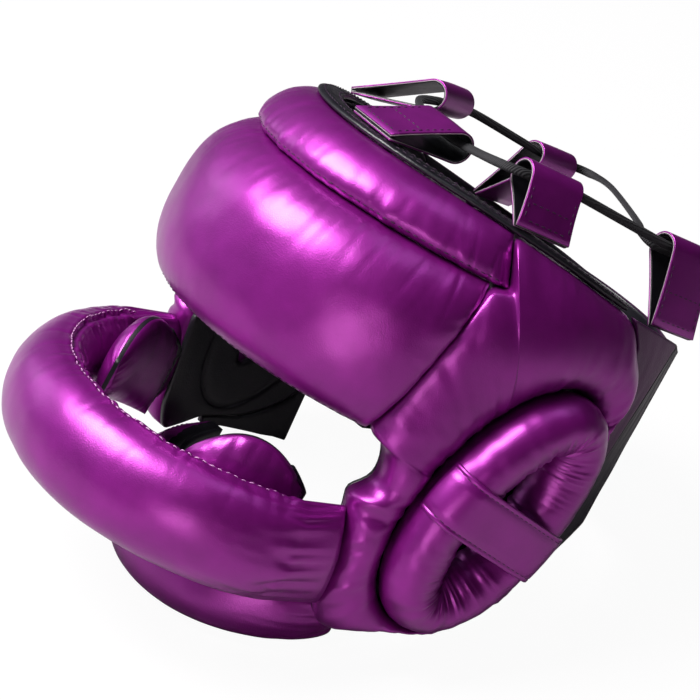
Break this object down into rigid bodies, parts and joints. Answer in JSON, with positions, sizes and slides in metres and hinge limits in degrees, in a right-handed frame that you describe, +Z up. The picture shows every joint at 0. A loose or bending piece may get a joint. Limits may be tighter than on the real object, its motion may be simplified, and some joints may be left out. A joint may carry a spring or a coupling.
{
  "type": "boxing headguard",
  "caption": "Full-face padded leather boxing headguard with a face bar, chin cup, ear guards, laced crown and hook-and-loop closure behind the neck.",
  "frame": {"origin": "centre of the footprint on the table: x and y at the middle of the overall box, z at the table, with the guard leaning back 23.5 degrees on its chin cup and the rear lower corners of its side pads", "axes": "+X toward the wearer's left, -Y toward the face bar (the wearer's front), +Y toward the back of the head, +Z up"},
  "size_m": [0.2358, 0.3244, 0.219],
  "materials": {
    "purple_leather": "metallic-look grained leather, semi-gloss",
    "plain_leather": "smooth leather, satin",
    "black_lining": "smooth black leather, satin",
    "foam": "matt foam",
    "black_cloth": "woven, matt",
    "pile": "hook and loop pile, matt"
  },
  "bodies": {
    "shell": {"forehead_cover": "purple_leather", "forehead_foam": "foam", "forehead_lining": "black_lining", "upper_band_cover": "purple_leather", "upper_band_foam": "foam", "upper_band_lining": "black_lining", "side_cover_left": "purple_leather", "side_foam_left": "foam", "side_lining_left": "black_lining", "side_cover_right": "purple_leather", "side_foam_right": "foam", "side_lining_right": "black_lining", "hem_left": "black_lining", "hem_right": "black_lining", "cheek_cover_left": "purple_leather", "cheek_foam_left": "foam", "cheek_cover_right": "purple_leather", "cheek_foam_right": "foam", "ear_roll_left": "purple_leather", "ear_foam_left": "foam", "ear_strap_left": "purple_leather", "ear_roll_right": "purple_leather", "ear_foam_right": "foam", "ear_strap_right": "purple_leather", "face_bar_cover": "purple_leather", "face_bar_foam": "foam", "chin_cover": "purple_leather", "chin_foam": "foam", "chin_lining": "black_lining", "back_panel_left": "plain_leather", "back_panel_right": "plain_leather", "crown_piping": "black_cloth", "lace_loop_front": "purple_leather", "lace_loop_mid_left": "purple_leather", "lace_loop_mid_right": "purple_leather", "lace_loop_rear_left": "purple_leather", "lace_loop_rear_right": "purple_leather", "crown_lace": "black_cloth", "lace_knot": "black_cloth"},
    "left_flap": {"closure_flap_left": "plain_leather", "hook_patch": "pile"},
    "right_flap": {"closure_flap_right": "plain_leather", "loop_patch": "pile"}
  },
  "joints": [
    {"name": "left_flap_hinge", "type": "hinge", "parent": "shell", "child": "left_flap", "pos_m": [0.08544, 0.08122, 0.08043], "axis": [0.0913, -0.5153, -0.8521], "range_deg": [0, 110]},
    {"name": "right_flap_hinge", "type": "hinge", "parent": "shell", "child": "right_flap", "pos_m": [-0.07258, 0.07722, 0.08217], "axis": [0.0871, 0.5044, 0.859], "range_deg": [-20, 0]}
  ]
}
